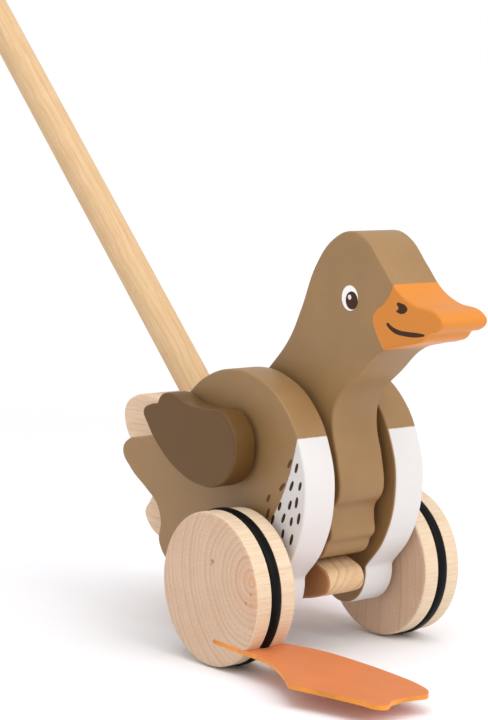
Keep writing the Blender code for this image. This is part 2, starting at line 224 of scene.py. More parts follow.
def outline_curve(points, spacing, softening):
    """A closed curve through an outline's points, in even steps.

    Between neighbours it is a cubic Bezier. At a round point its handles lie along the sum of the
    unit vectors from the point before and to the point after, and each is HANDLE of the way long; at
    a sharp point each handle lies a third of the way to its neighbour. The loop is then softened."""
    at = np.array([p[:2] for p in points], float)
    sharp = np.array([len(p) > 2 for p in points])[:, None]
    before, after = at - np.roll(at, 1, 0), np.roll(at, -1, 0) - at
    from_last = np.linalg.norm(before, axis=1, keepdims=True)
    to_next = np.linalg.norm(after, axis=1, keepdims=True)
    along = before / from_last + after / to_next
    along /= np.linalg.norm(along, axis=1, keepdims=True)
    lead = np.where(sharp, after / 3, along * to_next * HANDLE)
    trail = np.where(sharp, before / 3, along * from_last * HANDLE)
    ends = np.roll(at, -1, 0)
    t = np.linspace(0, 1, 40, endpoint=False)[:, None, None]
    curve = ((1 - t) ** 3 * at + 3 * (1 - t) ** 2 * t * (at + lead)
             + 3 * (1 - t) * t ** 2 * (ends - np.roll(trail, -1, 0)) + t ** 3 * ends)
    loop = curve.transpose(1, 0, 2).reshape(-1, 2)
    loop = np.vstack([loop, loop[:1]])
    run = np.r_[0, np.cumsum(np.linalg.norm(np.diff(loop, axis=0), axis=1))]
    even = np.linspace(0, run[-1], int(run[-1] / spacing), endpoint=False)
    loop = np.c_[np.interp(even, run, loop[:, 0]), np.interp(even, run, loop[:, 1])]
    return softened(loop, softening / spacing)


def loft(name, rows, ends):
    """A closed mesh on rows of points in the frame's metres, each row a loop.

    The first and last rows are filled ("caps"), drawn together ("poles") or joined ("ring")."""
    count, around = rows.shape[:2]
    index = np.arange(count * around).reshape(count, around)
    low = index if ends == "ring" else index[:-1]
    high = np.roll(index, -1, 0) if ends == "ring" else index[1:]
    quads = np.stack([low, np.roll(low, -1, 1), np.roll(high, -1, 1), high], -1).reshape(-1, 4)
    faces = quads.tolist()
    if ends == "caps":
        faces += [index[0].tolist(), index[-1, ::-1].tolist()]
    mesh = bpy.data.meshes.new(name)
    mesh.from_pydata(rows.reshape(-1, 3).tolist(), [], faces)
    closed(mesh)
    return mesh


def closed(mesh):
    """Merges a mesh's doubled points, turns its faces outwards and shades it by its angles."""
    solid = bmesh.new()
    solid.from_mesh(mesh)
    bmesh.ops.remove_doubles(solid, verts=solid.verts, dist=1e-7)
    bmesh.ops.recalc_face_normals(solid, faces=solid.faces)
    solid.to_mesh(mesh)
    solid.free()
    mesh.shade_smooth()
    mesh.set_sharp_from_angle(angle=CREASE)


def board(name, outline, y_from, y_to, edge, softening=SOFTENING, spacing=0.8, steps=7):
    """A board standing on edge, drawn by its side view.

    Its skin is a function of the way round the outline and of the way from one face to the other:
    it leaves each flat face on a quarter circle of the edge's radius, set in along the outline's
    inward normal. At a tight corner the quarter circle narrows to EDGE_SHARE of the corner's radius."""
    loop = outline_curve(outline, spacing, softening)
    ahead = np.roll(loop, -1, 0) - np.roll(loop, 1, 0)
    ahead /= np.linalg.norm(ahead, axis=1, keepdims=True)
    area = np.sum(loop[:, 0] * np.roll(loop[:, 1], -1) - loop[:, 1] * np.roll(loop[:, 0], -1))
    inward = np.c_[-ahead[:, 1], ahead[:, 0]] * np.sign(area)
    bend = np.roll(ahead, -1, 0) - np.roll(ahead, 1, 0)
    curvature = np.sum(bend * inward, axis=1) / (2 * spacing)
    room_in = np.minimum(1.0, EDGE_SHARE / (edge * np.maximum(curvature, 1e-6)))
    room_in = softened(room_in[:, None], 2 * edge / spacing)
    angle = np.linspace(0, pi / 2, steps)
    inset = np.r_[1.2, 1 - np.sin(angle)] * edge
    depth = np.r_[0, 1 - np.cos(angle)] * edge
    way = np.sign(y_to - y_from)
    across = np.r_[y_from + way * depth, y_to - way * depth[::-1]]
    inset = np.r_[inset, inset[::-1]]
    flat = loop[None] + inset[:, None, None] * room_in[None] * inward[None]
    rows = np.empty((len(inset), len(loop), 3))
    rows[..., 0] = AXLE_X + flat[..., 0] * MM
    rows[..., 1] = across[:, None] * MM
    rows[..., 2] = flat[..., 1] * MM
    return loft(name, rows, "caps")


def turned(name, profile, centre, direction, ends="poles", around=144):
    """A solid turned about a line through its centre.

    Its skin is a function of the way along the profile, given as radius and distance along the
    line in millimetres, and of the angle round the line."""
    radius, along = np.array(profile, float).T * MM
    angle = np.linspace(0, 2 * pi, around, endpoint=False)
    local = np.empty((len(radius), around, 3))
    local[..., 0] = radius[:, None] * np.cos(angle)
    local[..., 1] = radius[:, None] * np.sin(angle)
    local[..., 2] = along[:, None]
    turn = np.array(Vector((0, 0, 1)).rotation_difference(Vector(direction)).to_matrix())
    return loft(name, local @ turn.T + np.array(centre), ends)


def bore(at, radius, y_from, y_to):
    """A cutter for a round hole along Y."""
    half = (y_to - y_from) / 2
    profile = [(0, -half), (radius, -half), (radius, half), (0, half)]
    return turned("cutter", profile, spot(at[0], (y_from + y_to) / 2, at[1]), (0, 1, 0), around=48)


def cut(piece, *cutters):
    """Cuts closed meshes out of a piece."""
    for mesh in cutters:
        tool = link("cutter", mesh)
        boolean = piece.modifiers.new("cut", "BOOLEAN")
        boolean.object = tool
        boolean.solver = "EXACT"
        graph = bpy.context.evaluated_depsgraph_get()
        result = bpy.data.meshes.new_from_object(piece.evaluated_get(graph))
        piece.modifiers.clear()
        old, piece.data = piece.data, result
        result.name = old.name
        bpy.data.meshes.remove(old)
        bpy.data.objects.remove(tool)
        bpy.data.meshes.remove(mesh)
    piece.data.shade_smooth()
    piece.data.set_sharp_from_angle(angle=CREASE)


def dress(piece, *materials):
    """Gives a piece these materials in place of any it has."""
    piece.data.materials.clear()
    for stuff in materials:
        piece.data.materials.append(stuff)


def srgb(red, green, blue):
    """A colour in the shader's linear terms from screen values of 0 to 255."""
    screen = np.array([red, green, blue]) / 255
    linear = np.where(screen > 0.04045, ((screen + 0.055) / 1.055) ** 2.4, screen / 12.92)
    return (*linear.tolist(), 1.0)


def toned(colour, factor, lift=0.0):
    """A colour made darker or lighter by a factor, then lifted."""
    return tuple(min(c * factor + lift, 1) for c in colour[:3]) + (1,)


def tinted(add, factor, under, over, mode="MIX"):
    """One colour laid over another by a factor; each may be a colour or a socket."""
    mix = add("Mix", {0: factor, 6: under, 7: over}, data_type="RGBA", blend_type=mode)
    return mix.outputs[2]


def both(add, first, second, operation="MULTIPLY"):
    """Two numbers joined by an arithmetic operation."""
    return add("Math", {0: first, 1: second}, operation=operation).outputs[0]


def swing(add, noise, width):
    """A noise of 0 to 1 turned into one that swings about 0 by half the width either way."""
    return both(add, both(add, noise, 0.5, "SUBTRACT"), width)


def smooth_step(add, value, low, high):
    """0 below low and 1 above high, with an even slope between."""
    return add("MapRange", {0: value, 1: low, 2: high}).outputs[0]


def roughness(add, noise, low, high):
    """A roughness that follows a noise from low to high."""
    return add("MapRange", {0: noise, 1: 0.3, 2: 0.7, 3: low, 4: high})


def painted(name, colour, grain_turn=(0, 0, 0), shine=0.36):
    """Satin paint sprayed on beech: orange peel, mottling, and the wood's grain showing through."""
    made, shader, add, fill = new_material(name)
    where = add("TexCoord").outputs["Object"]
    mottle = add("TexNoise", {"Vector": where, "Scale": 55.0, "Detail": 4.0})
    speck = add("TexNoise", {"Vector": where, "Scale": 2600.0, "Detail": 2.0})
    lengthwise = add("Mapping", {"Vector": where, "Rotation": grain_turn, "Scale": (25, 600, 600)})
    grain = add("TexNoise", {"Vector": lengthwise, "Scale": 1.0, "Detail": 3.0})
    shade = both(add, both(add, mottle, 0.55), both(add, speck, 0.45), "ADD")
    body = tinted(add, smooth_step(add, shade, 0.34, 0.66), toned(colour, 0.91), toned(colour, 1.08))
    height = both(add, both(add, grain, 0.6), both(add, speck, 0.25), "ADD")
    bump = add("Bump", {"Height": height, "Strength": 0.5, "Distance": 0.00009})
    fill(shader, {"Base Color": body, "Roughness": roughness(add, mottle, 0.4, 0.52), "Normal": bump,
                  "Specular IOR Level": shine, "Coat Weight": 0.05, "Coat Roughness": 0.3})
    return made, shader, add, fill, where, body


BROWN = srgb(152, 118, 76)
WHITE = srgb(218, 215, 213)
MASK_BLUR = 0.25 * MM


def body_paint():
    """Brown paint with a white breast: ahead of a large circle, below the bib's top, and not on the
    boards' inner faces."""
    made, shader, add, fill, where, brown = painted("body paint", BROWN)
    axes = add("SeparateXYZ", {0: where})
    wobble = add("TexNoise", {"Vector": where, "Scale": 500.0})
    ragged = swing(add, wobble, 0.5 * MM)
    centre = spot(BIB_CENTRE[0], 0, BIB_CENTRE[1])
    flat = add("VectorMath", {0: where, 1: (1, 0, 1)}, operation="MULTIPLY")
    away = add("VectorMath", {0: flat, 1: centre}, operation="DISTANCE").outputs["Value"]
    away = both(add, away, ragged, "ADD")
    beyond = smooth_step(add, away, BIB_R * MM - MASK_BLUR, BIB_R * MM + MASK_BLUR)
    height = both(add, axes.outputs["Z"], ragged, "ADD")
    under = smooth_step(add, height, BIB_TOP * MM + MASK_BLUR, BIB_TOP * MM - MASK_BLUR)
    aside = both(add, axes.outputs["Y"], 0.0, "ABSOLUTE")
    outer = smooth_step(add, aside, INNER_FACE * MM - MASK_BLUR, INNER_FACE * MM + MASK_BLUR)
    ahead = smooth_step(add, axes.outputs["X"], AXLE_X - 30 * MM, AXLE_X - 29 * MM)
    bib = both(add, both(add, beyond, under), both(add, outer, ahead))
    fill(shader, {"Base Color": tinted(add, bib, brown, WHITE)})
    return made


body_stuff = body_paint()
for side, y in (("right", -1), ("left", 1)):
    name = side + "_painted_side"
    inner, sink, outer = y * BODY_INNER_Y, y * (BODY_INNER_Y + DOWEL_SINK + GAP), y * BODY_OUTER_Y
    within, beyond = inner - y * OVERSHOOT, outer + y * OVERSHOOT
    piece = link(name, board(name, BODY_OUTLINE, inner, outer, BODY_EDGE))
    cut(piece,
        bore((0, AXLE_Z), AXLE_R + RUNNING, within, beyond),
        bore(NECK_PIVOT, NECK_DOWEL_R + GAP, within, sink),
        *[bore(at, CORE_DOWEL_R + GAP, within, sink) for at in CORE_DOWELS],
        bore(WING_PIVOT, WING_PIN_R + GAP, outer - y * (DOWEL_SINK + GAP), beyond))
    dress(piece, body_stuff)
    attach(piece, "body")
    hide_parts(side + "_body_side")


# Breast feathers. Short oblong dabs of dark ink printed in staggered rows on each body side, brown
# ones where they run on over the brown paint.
DAB_LONG, DAB_WIDE = 4.8, 1.45
LEAN_ON_WHITE, LEAN_ON_BROWN = 20.0, 34.0
INK_PROUD = 0.1
INK_SUNK = 0.3
INK_EDGE = 0.08
DABS_ON_WHITE = [
    (30.7, 92), (27.3, 83.6), (33.2, 84.2), (30.8, 76.6), (26.2, 74.9), (19, 73.4), (32.3, 69.6),
    (27.2, 67.6), (21.7, 68.4), (14, 66.6), (21.3, 61.3), (27.3, 59.5), (15.6, 59.5), (22, 54),
    (15.2, 52),
]
DABS_ON_BROWN = [(26, 93.5), (20.7, 82.3), (11, 76), (10.6, 69)]


def ink(name, colour):
    """A thin satin ink, slightly uneven where it took to the paint."""
    made, shader, add, fill = new_material(name)
    where = add("TexCoord").outputs["Object"]
    uneven = add("TexNoise", {"Vector": where, "Scale": 1500.0, "Detail": 3.0})
    pale = toned(colour, 1.35, 0.006)
    fill(shader, {"Base Color": tinted(add, smooth_step(add, uneven, 0.42, 0.75), colour, pale),
                  "Roughness": roughness(add, uneven, 0.36, 0.5),
                  "Specular IOR Level": 0.15,
                  "Normal": add("Bump", {"Height": uneven, "Strength": 0.3, "Distance": 0.00003})})
    return made


def printed(name, outlines, y, proud, stuff, body):
    """Flat patches of ink with rounded edges on a face whose distance from the middle is y.

    Each stands proud of the face and reaches a little way into it."""
    low, high = y - np.sign(y) * INK_SUNK, y + np.sign(y) * proud
    meshes = [board(name, outline, low, high, INK_EDGE, softening=0.12, spacing=0.16, steps=3)
              for outline in outlines]
    joined = bmesh.new()
    for mesh in meshes:
        joined.from_mesh(mesh)
    joined.to_mesh(meshes[0])
    joined.free()
    for mesh in meshes[1:]:
        bpy.data.meshes.remove(mesh)
    piece = link(name, meshes[0], stuff)
    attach(piece, body)


def dab(x, z, number, lean):
    """An oblong with round ends, its top leaning forwards.

    Its length and its lean vary as sines of its number, by up to 12 and 35 parts in a hundred."""
    long = DAB_LONG * (1 + 0.12 * sin(2.4 * number)) / 2 - DAB_WIDE / 2
    lean = radians(90 - lean * (1 + 0.35 * sin(1.7 * number)))
    ends = []
    for way in (1, -1):
        centre = (x + way * long * cos(lean), z + way * long * sin(lean))
        turn = degrees(lean) + (0 if way > 0 else 180)
        ends += arc(centre, DAB_WIDE / 2, turn - 90, turn + 90, 5)
    return ends


dark_ink = ink("dark ink", srgb(60, 34, 16))
brown_ink = ink("brown ink", srgb(90, 60, 32))
for side, y in (("right", -1), ("left", 1)):
    for label, dabs, lean, stuff in (("white", DABS_ON_WHITE, LEAN_ON_WHITE, dark_ink),
                                     ("brown", DABS_ON_BROWN, LEAN_ON_BROWN, brown_ink)):
        outlines = [dab(*at, number, lean) for number, at in enumerate(dabs)]
        printed(f"{side}_feathers_on_{label}", outlines, y * BODY_OUTER_Y, INK_PROUD, stuff, "body")


# Tail core. A block of bare beech between the two sides, which shows behind them as the tail and
# carries the stick in a sloping socket. Its grain runs along the goose.
CORE_HALF = 17.7
CORE_EDGE = 1.6
STICK_R = 8.5
STICK_SLOPE = radians(46)
STICK_FOOT = (-73.0, 97.3)
SOCKET_END = 95.0
CORE_OUTLINE = [
    (-61, 103), (-72, 108.8), (-96, 110.2), (-121.3, 108.2), (-127.6, 102.5), (-127.6, 94.5),
    (-121, 84), (-107, 72), (-103.4, 63), (-106.5, 57.4), (-110.7, 51.6), (-107.2, 45), (-98.5, 40),
    (-82, 38.6), (-60, 42), (-52, 52), (-55, 66), (-61.5, 82),
]
WOOD_PALE = srgb(231, 203, 176)
WOOD_RING = srgb(208, 170, 134)
WOOD_FLECK = srgb(150, 108, 76)
BLUSH = srgb(222, 164, 124)


def wood(name, pith, turn, pale=WOOD_PALE, ring=WOOD_RING, width=2.7, strength=0.5, drift=3.0,
         blush=0.0, knots=()):
    """Bare sanded beech.

    Growth rings lie about the trunk's axis, which runs through pith, a place in millimetres, and
    along local Z turned by turn. Each ring darkens towards its outside, and rings near the pith
    stand out more. Fibres and small flecks are drawn out along the trunk. Near the pith the wood
    blushes, and knots are small dark eyes, given by their places across the trunk from the pith and
    their radii in millimetres."""
    made, shader, add, fill = new_material(name)
    where = add("TexCoord").outputs["Object"]
    trunk = add("Mapping", {"Vector": where, "Location": spot(*pith), "Rotation": turn},
                vector_type="TEXTURE")
    across = add("VectorMath", {0: trunk, 1: (1, 1, 0)}, operation="MULTIPLY")
    sway = add("TexNoise", {"Vector": trunk, "Scale": 38.0, "Detail": 2.0})
    ripple = add("TexNoise", {"Vector": trunk, "Scale": 260.0, "Detail": 2.0})
    radius = add("VectorMath", {0: across}, operation="LENGTH").outputs["Value"]
    radius = both(add, radius, swing(add, sway, 2 * drift * MM), "ADD")
    radius = both(add, radius, swing(add, ripple, 0.5 * MM), "ADD")
    years = add("TexNoise", {"W": both(add, radius, 150.0), "Scale": 1.0, "Detail": 1.0},
                noise_dimensions="1D")
    radius = both(add, radius, swing(add, years, 1.6 * width * MM), "ADD")
    season = both(add, both(add, radius, width * MM, "DIVIDE"), 0.0, "FRACT")
    late = add("ValToRGB", {0: season})
    late.color_ramp.interpolation = "EASE"
    late.color_ramp.elements[1].position = 0.74
    late.color_ramp.elements[1].color = (1, 1, 1, 1)
    late.color_ramp.elements.new(0.4).color = (0.25, 0.25, 0.25, 1)
    late.color_ramp.elements.new(1.0).color = (0.0, 0.0, 0.0, 1)
    near = smooth_step(add, radius, 26 * MM, 9 * MM)
    bold = both(add, smooth_step(add, years, 0.35, 0.65), 0.45, "ADD")
    bold = both(add, both(add, near, 0.45), bold, "ADD")
    colour = tinted(add, both(add, both(add, late.outputs[0], strength), bold), pale, ring)
    cloud = add("TexNoise", {"Vector": trunk, "Scale": 75.0, "Detail": 3.0})
    colour = tinted(add, both(add, smooth_step(add, cloud, 0.35, 0.7), 0.22), colour, ring)
    fibre = add("Mapping", {"Vector": trunk, "Scale": (1, 1, 0.035)})
    streak = add("TexNoise", {"Vector": fibre, "Scale": 1500.0, "Detail": 3.0})
    colour = tinted(add, smooth_step(add, streak, 0.35, 0.75), colour,
                    tinted(add, 1.0, colour, srgb(240, 232, 222), "MULTIPLY"))
    dash = add("Mapping", {"Vector": trunk, "Scale": (1, 1, 0.16)})
    fleck = add("TexNoise", {"Vector": dash, "Scale": 1300.0, "Detail": 1.0})
    flecks = smooth_step(add, fleck, 0.67, 0.72)
    colour = tinted(add, both(add, flecks, 0.14), colour, WOOD_FLECK)
    if blush:
        warm = both(add, smooth_step(add, radius, 17 * MM, 3 * MM),
                    smooth_step(add, cloud, 0.36, 0.58))
        colour = tinted(add, both(add, warm, blush), colour, BLUSH)
    for x, z, size in knots:
        eye = add("VectorMath", {0: across, 1: (x * MM, z * MM, 0)}, operation="DISTANCE")
        eye = both(add, eye.outputs["Value"], both(add, ripple, 1.2 * MM), "ADD")
        spotted = smooth_step(add, eye, (size + 1.3) * MM, (size + 0.4) * MM)
        colour = tinted(add, both(add, spotted, 0.8), colour, WOOD_FLECK)
    height = both(add, both(add, streak, 0.7), both(add, flecks, 0.5), "SUBTRACT")
    fill(shader, {"Base Color": colour, "Specular IOR Level": 0.32,
                  "Roughness": roughness(add, streak, 0.52, 0.66),
                  "Normal": add("Bump", {"Height": height, "Strength": 0.4, "Distance": 0.00006})})
    return made


def grained(piece, faces, edges):
    """Gives a piece one wood on its faces across Y and another all round its edge."""
    dress(piece, faces, edges)
    mesh = piece.data
    normals = np.empty(3 * len(mesh.polygons))
    mesh.polygons.foreach_get("normal", normals)
    mesh.polygons.foreach_set("material_index", (np.abs(normals[1::3]) < 0.6).astype(np.int32))


def up_stick(distance):
    """A point on the stick's middle line, at a distance in millimetres from its foot."""
    x, z = STICK_FOOT
    return spot(x - distance * cos(STICK_SLOPE), 0, z + distance * sin(STICK_SLOPE))


def rod(radius, start, end, chamfer):
    """The profile of a round bar between two distances along its line, its ends chamfered."""
    return [(0, start), (radius - chamfer - 0.2, start), (radius - chamfer, start),
            (radius - 0.25 * chamfer, start + 0.25 * chamfer), (radius, start + chamfer),
            (radius, start + chamfer + 0.3), (radius, end - chamfer - 0.3), (radius, end - chamfer),
            (radius - 0.25 * chamfer, end - 0.25 * chamfer), (radius - chamfer, end),
            (radius - chamfer - 0.2, end), (0, end)]


STICK_WAY = (up_stick(1) - up_stick(0)).normalized()
core = link("bare_tail_core", board("bare_tail_core", CORE_OUTLINE, -CORE_HALF, CORE_HALF, CORE_EDGE))
socket_profile = [(0, -GAP), (STICK_R + GAP, -GAP), (STICK_R + GAP, SOCKET_END), (0, SOCKET_END)]
cut(core, turned("socket", socket_profile, up_stick(0), STICK_WAY),
    *[bore(at, CORE_DOWEL_R + GAP, -30, 30) for at in CORE_DOWELS])
dress(core, wood("tail core beech", (-95, 6, 30), (0, pi / 2, 0), strength=0.22))
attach(core, "body")
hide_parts("tail_core")


# Push stick and grip. A long straight dowel of yellower wood glued in the tail core, with a turned
# ball pushed on its upper end.
STICK_LENGTH = 505.0
GRIP_R = 20.0
GRIP_BORE_DEPTH = 22.0
STICK_PALE = srgb(219, 187, 146)
STICK_RING = srgb(204, 165, 118)

stick_pith = (STICK_FOOT[0] + 14, 9, STICK_FOOT[1] + 8)
stick_wood = wood("stick wood", stick_pith, (0, STICK_SLOPE - pi / 2, 0), STICK_PALE, STICK_RING,
                  width=3.4, strength=0.4)
stick = link("round_push_stick", turned("round_push_stick", rod(STICK_R, 0, STICK_LENGTH, 1.0),
                                        up_stick(0), STICK_WAY, around=96), stick_wood)
sweep = np.linspace(0, pi - np.arcsin((STICK_R + GAP) / GRIP_R), 48)
ball = np.c_[GRIP_R * np.sin(sweep), GRIP_R * np.cos(sweep)].tolist()
bottom = GRIP_BORE_DEPTH - GRIP_R + GAP
ball += [(STICK_R + GAP, bottom), (0, bottom)]
ball_centre = up_stick(STICK_LENGTH - GRIP_BORE_DEPTH + GRIP_R)
grip = link("turned_grip_ball", turned("turned_grip_ball", ball, ball_centre, STICK_WAY), stick_wood)
for piece, node in ((stick, "push_stick"), (grip, "grip_ball")):
    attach(piece, "body")
    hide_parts(node)


# Head and neck. One thick board with well-rounded edges, brown, its beak sprayed orange through a
# mask. It swings on a dowel between the body's sides and rests on the cam.
HEAD_HALF = 13.5
HEAD_EDGE = 1.3
NECK_LOBE_R = 14.0
NECK_BOTTOM_Z = 47.1
BEAK_X = 99.6
ORANGE = srgb(212, 130, 40)
HEAD_OUTLINE = [
    (19.6, NECK_BOTTOM_Z), (24.2, 50.8), (25.4, 54.2), (28.6, 57.4), (28.3, 64.5), (28.6, 70),
    (33.4, 75.6), (34.8, 80), (33.4, 92), (29.6, 110), (32, 120.2), (47, 134), (60.5, 144.4),
    (74, 148), (83, 149.6), (88, 151.4), (90.2, 154.3, SHARP), (96.9, 155.9), (BEAK_X, 159.2),
    (96.9, 162.7), (82, 166.3), (72, 171.5), (62, 182), (51, 193.2), (41, 196.4), (29, 192.8),
    (17.5, 181.6), (6.3, 160), (-2, 146.2), (-17, 131.4), (-38, 113), (-52, 100.2),
    *arc(NECK_PIVOT, NECK_LOBE_R, 150, 270, 5), (-31, 69), (-18, 55.5), (-4, NECK_BOTTOM_Z),
]
BEAK_LINE = [
    (145.1, 63), (149.7, 60), (154.8, 57), (158.8, 55.9), (161.2, 57), (165.6, 63), (170.6, 67.4),
    (173.6, 68.8),
]


def head_paint():
    """Brown paint, and orange ahead of the beak's line, which gives the mask's edge by height."""
    made, shader, add, fill, where, brown = painted("head paint", BROWN, (0, radians(50), 0))
    axes = add("SeparateXYZ", {0: where})
    low, high = BEAK_LINE[0][0], BEAK_LINE[-1][0]
    near, far = min(x for _, x in BEAK_LINE), max(x for _, x in BEAK_LINE)
    level = add("MapRange", {0: axes.outputs["Z"], 1: low * MM, 2: high * MM})
    edge = add("FloatCurve", {"Value": level})
    points = edge.mapping.curves[0].points
    for _ in BEAK_LINE[2:]:
        points.new(0.5, 0.5)
    for point, (z, x) in zip(points, BEAK_LINE):
        point.location = ((z - low) / (high - low), (x - near) / (far - near))
    edge.mapping.update()
    line = add("MapRange", {0: edge, 3: AXLE_X + near * MM, 4: AXLE_X + far * MM})
    past = both(add, axes.outputs["X"], line, "SUBTRACT")
    ahead = smooth_step(add, past, -MASK_BLUR, MASK_BLUR)
    above = smooth_step(add, axes.outputs["Z"], (low - 0.3) * MM, (low + 0.2) * MM)
    fill(shader, {"Base Color": tinted(add, both(add, ahead, above), brown, ORANGE)})
    return made


head = link("head_board", board("head_board", HEAD_OUTLINE, -HEAD_HALF, HEAD_HALF, HEAD_EDGE))
cut(head, bore(NECK_PIVOT, NECK_DOWEL_R + RUNNING, -20, 20))
dress(head, head_paint())
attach(head, "head")
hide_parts("head_and_neck")


# Face. On both sides of the head the eye, nostril and smile are printed in thin ink: a white disc, a
# dark pupil set forward in it, and a small pale glint on the pupil.
EYE, EYE_R = (40.7, 166.9), (5.35, 5.6)
PUPIL, PUPIL_R = (42.0, 165.9), 4.0
GLINT, GLINT_R = (40.7, 167.3), 1.15
NOSTRIL = [
    (71.3, 166.2), (74.4, 166.4), (76.9, 165.5), (77.9, 164.2), (76.9, 162.7), (74.5, 161.9),
    (71.9, 162.3), (70.9, 163.0), (72.0, 163.6), (72.3, 164.5), (71.7, 165.3),
]
SMILE = [
    (64.8, 157.1), (66.3, 155.3), (68.2, 154.1), (70.8, 153.1), (75.5, 152.5), (82.7, 152.4),
    (86.6, 152.9), (88.6, 153.7), (86.6, 154.2), (82.7, 154.4), (77.7, 154.5), (73.9, 154.7),
    (70.8, 155.3), (67.8, 156.4), (65.5, 157.6),
]


def disc(centre, radius, points=12):
    """An ellipse's outline from its two radii."""
    angle = np.linspace(0, 2 * pi, points, endpoint=False)
    return list(zip(centre[0] + radius[0] * np.cos(angle), centre[1] + radius[1] * np.sin(angle)))


eye_white = ink("eye white ink", srgb(244, 242, 240))
glint_ink = ink("glint ink", srgb(236, 214, 206))
for side, y in (("right", -HEAD_HALF), ("left", HEAD_HALF)):
    for label, outline, proud, stuff in (
            ("eye", disc(EYE, EYE_R), 0.08, eye_white),
            ("pupil", disc(PUPIL, (PUPIL_R, PUPIL_R)), 0.14, dark_ink),
            ("glint", disc(GLINT, (GLINT_R, GLINT_R)), 0.2, glint_ink),
            ("nostril", NOSTRIL, INK_PROUD, dark_ink),
            ("smile", SMILE, INK_PROUD, dark_ink)):
        printed(f"{side}_{label}", [outline], y, proud, stuff, "head")


# Cam. An egg-shaped block of bare beech glued on the middle of the axle; its nose lifts the neck
# once a turn and makes the head nod.
CAM_HALF = 11.0
CAM_R, CAM_NOSE_R, CAM_THROW = 11.0, 6.5, 18.0
CAM_EDGE = 1.6
CAM_PALE = srgb(226, 195, 156)
# The cam's faces across the axle: end grain's own darker tone, darkened further as painted shade for
# the shadow that falls on them between the body's sides.
CAM_END_GRAIN_AND_SHADE = srgb(184, 134, 92)
CAM_RING = srgb(186, 142, 98)
lean = degrees(acos((CAM_R - CAM_NOSE_R) / CAM_THROW))
cam_outline = arc((CAM_THROW, AXLE_Z), CAM_NOSE_R, -lean, lean, 7)
cam_outline += arc((0, AXLE_Z), CAM_R, lean, 360 - lean, 13)
cam = link("beech_cam", board("beech_cam", cam_outline, -CAM_HALF, CAM_HALF, CAM_EDGE,
                              softening=0.4, spacing=0.6))
cut(cam, bore((0, AXLE_Z), AXLE_R + GAP, -20, 20))
# The faces across the axle take the darker end-grain wood, which also carries painted shade; the edge
# takes the paler beech.
grained(cam, wood("cam end grain with painted shade", (6, 30, 14), (pi / 2, 0, 0), CAM_END_GRAIN_AND_SHADE, CAM_RING, strength=0.3),
        wood("cam beech", (6, 30, 14), (0, pi / 2, 0), CAM_PALE, CAM_RING, width=4.5, strength=0.45))
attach(cam, "wheels")
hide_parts("head_cam")


# Wheels. Each is turned from bare beech across the trunk, so that its faces show the growth rings,
# and grooved for a rubber ring. It is glued on the axle, and a saw cut near its rim holds a foot.
WHEEL_R = 35.0
WHEEL_INNER_Y, WHEEL_OUTER_Y = 39.0, 61.0
WHEEL_MIDDLE_Y = (WHEEL_INNER_Y + WHEEL_OUTER_Y) / 2
WHEEL_EDGE = 1.6
RING_HALF = 2.7
RING_FROM_RIM = 10.9
GROOVE_R = 33.0
GROOVE_PLAY = 0.1
AXLE_HALF = 55.0
SLOT_HIGH = 2.04
SLOT_DROP = 24.0
SLOT_MOUTH_X, SLOT_BOTTOM_X, SLOT_BEYOND_X = 25.5, 3.0, 70.0
SLOT_FROM_Y, SLOT_TO_Y = 30.0, 70.0
FOOT_TILT = radians(2.5)
PITHS = {"right": (31.0, 0, 44.0), "left": (-85.0, 0, 24.0)}
WHEEL_PALE = srgb(219, 190, 165)
WHEEL_RING = srgb(196, 157, 124)
RIM_PALE = srgb(228, 207, 180)
RIM_RING = srgb(218, 193, 163)
KNOTS = {
    "right": ((2.9, 49.1, 0.7), (2.0, 47.5, 0.1), (30.5, 38.7, 0.1), (27.0, 34.2, 0.4),
              (30.6, 34.2, 0.1)),
    "left": (),
}


def eased(corners, steps=7):
    """A profile through its corners, given as radius, distance along and ease.

    Each corner is rounded by a quadratic Bezier that starts and ends at the ease's distance from
    it, with one more point just before and after, which keeps the flats flat."""
    at = np.array([c[:2] for c in corners], float)
    profile = [at[0]]
    for last, here, following, (_, _, ease) in zip(at[:-2], at[1:-1], at[2:], corners[1:-1]):
        back = (last - here) / np.linalg.norm(last - here)
        on = (following - here) / np.linalg.norm(following - here)
        t = np.linspace(0, 1, steps)[:, None]
        curve = here + ease * ((1 - t) ** 2 * back + t ** 2 * on)
        profile += [here + 1.2 * ease * back, *curve, here + 1.2 * ease * on]
    return np.array(profile + [at[-1]])


def slot_cutter(phase, y):
    """The cutter for a wheel's saw cut, right through the wheel along Y.

    Its side view is straight, with a round bottom, tilted about its mouth by the foot's tilt and
    turned with its wheel by its phase."""
    half = SLOT_HIGH / 2
    end = SLOT_BOTTOM_X + half
    corners = [(SLOT_BEYOND_X, -half, SHARP), (SLOT_BEYOND_X, half, SHARP), (end, half, SHARP),
               *arc((end, 0), half, 120, 240, 5), (end, -half, SHARP)]
    points = []
    for x, z, *kind in corners:
        x -= SLOT_MOUTH_X
        tilted = (SLOT_MOUTH_X + x * cos(FOOT_TILT) + z * sin(FOOT_TILT),
                  -SLOT_DROP - x * sin(FOOT_TILT) + z * cos(FOOT_TILT))
        points.append((tilted[0] * cos(phase), AXLE_Z + tilted[1] * cos(phase), *kind))
    return board("slot", points, y * SLOT_FROM_Y, y * SLOT_TO_Y, 0.05,
                 softening=0.1, spacing=0.5, steps=2)


